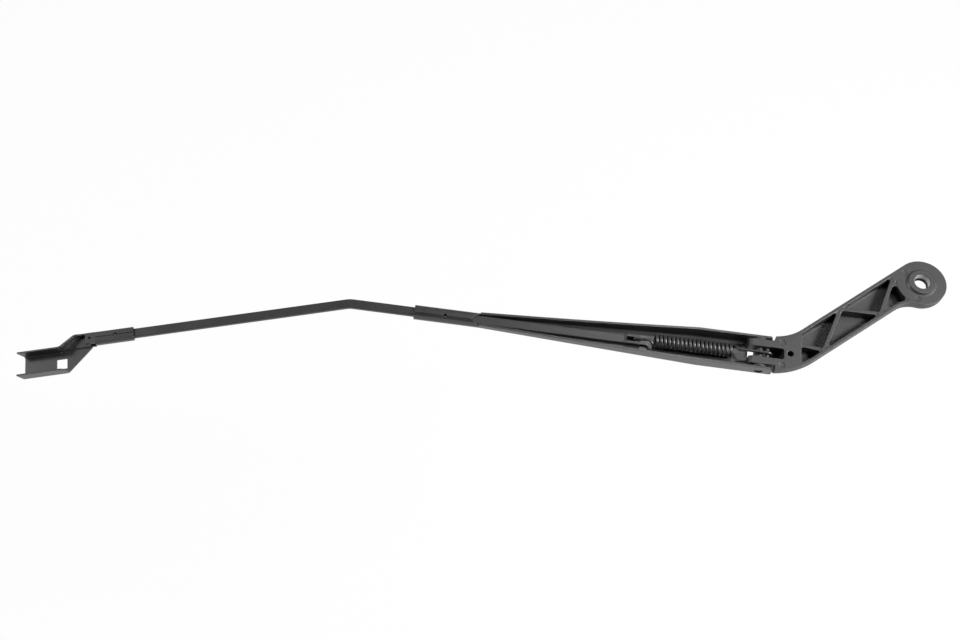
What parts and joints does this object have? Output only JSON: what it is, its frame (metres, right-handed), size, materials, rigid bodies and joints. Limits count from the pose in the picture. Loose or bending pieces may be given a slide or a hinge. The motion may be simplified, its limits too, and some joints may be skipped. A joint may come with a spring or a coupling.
{
  "type": "wiper arm",
  "caption": "Windscreen wiper arm with a ribbed cast head, sprung fold-away hinge, tapered channel, bent flat bar and an open channel end for the blade.",
  "frame": {"origin": "on the spindle bore's axis at the collar's face on the glass side", "axes": "+Z along the bore out of the glass side, +X along the arm channel from the blade end to the head, +Y across the arm"},
  "size_m": [0.6735, 0.1882, 0.0148],
  "materials": {
    "cast_coat": "satin",
    "channel_coat": "satin",
    "bar_coat": "satin",
    "connector_coat": "satin",
    "spring_steel": "satin",
    "pin_steel": "satin",
    "bush_plastic": "matte"
  },
  "bodies": {
    "head": {"mounting_head": "cast_coat", "spring_anchor_pin": "pin_steel", "hinge_bush_front": "bush_plastic", "hinge_bush_rear": "bush_plastic"},
    "arm": {"arm_channel": "channel_coat", "flat_bar": "bar_coat", "blade_connector": "connector_coat", "hinge_pin": "pin_steel", "tension_spring": "spring_steel"}
  },
  "joints": [
    {"name": "arm_hinge", "type": "hinge", "parent": "head", "child": "arm", "pos_m": [-0.1173, -0.0742, -0.0076], "axis": [0, -1, 0], "range_deg": [0, 95], "stiffness_Nm_per_rad": 1.5, "springref_deg": -171.89, "deforming": ["tension_spring"]}
  ]
}
